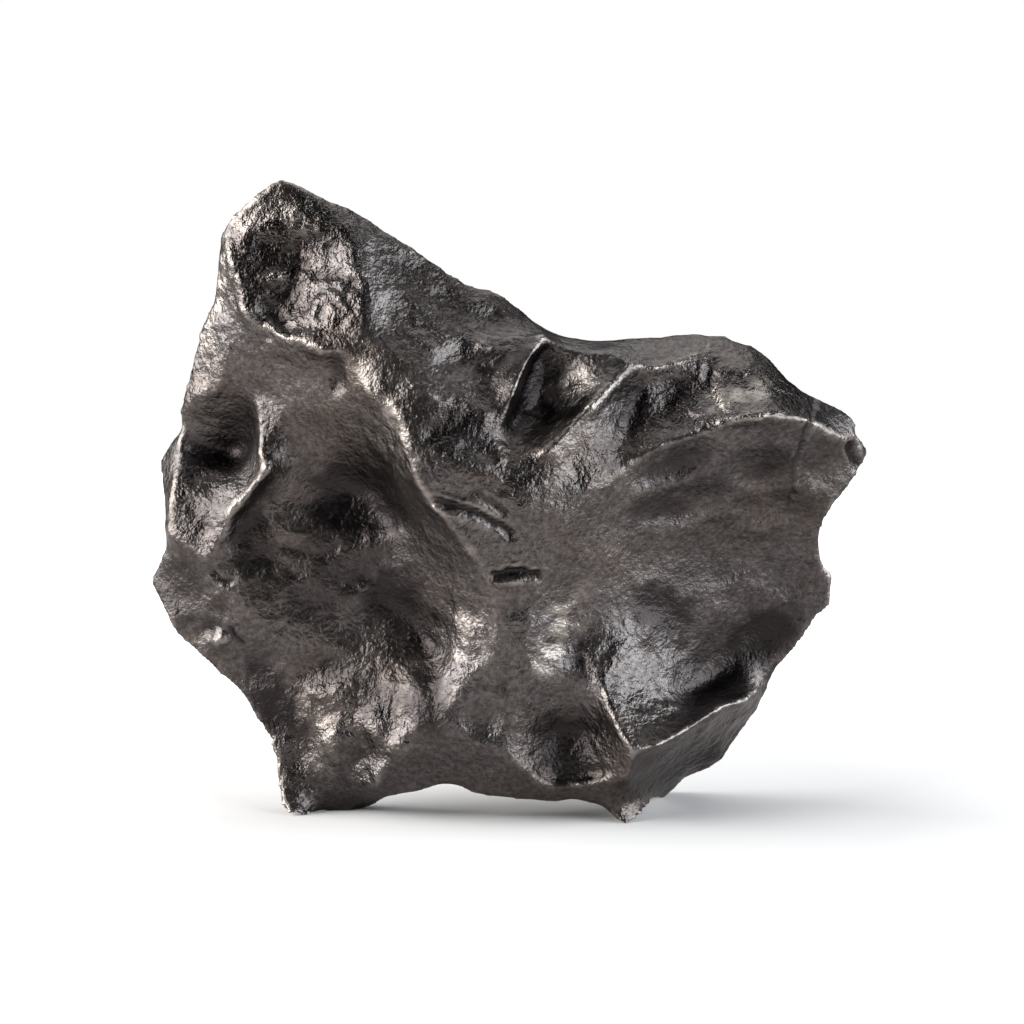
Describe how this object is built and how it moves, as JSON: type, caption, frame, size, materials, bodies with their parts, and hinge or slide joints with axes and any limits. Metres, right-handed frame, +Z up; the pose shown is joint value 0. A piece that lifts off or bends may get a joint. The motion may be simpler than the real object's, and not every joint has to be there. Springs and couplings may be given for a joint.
{
  "type": "iron meteorite",
  "caption": "Single piece of natural iron with worn ridges around deep thumbprint hollows, standing on edge on the low points of its rim.",
  "frame": {"origin": "centre of the outer box, on the surface that the stone stands on", "axes": "+X to the right along the width as seen from the front, +Y through the thickness from front to back, +Z up"},
  "size_m": [0.1792, 0.058, 0.1596],
  "materials": {
    "iron": "dark brown-black natural iron, satin and finely pitted, with paler worn ridges and a warm patina"
  },
  "bodies": {
    "root": {"meteorite": "iron"}
  },
  "joints": []
}
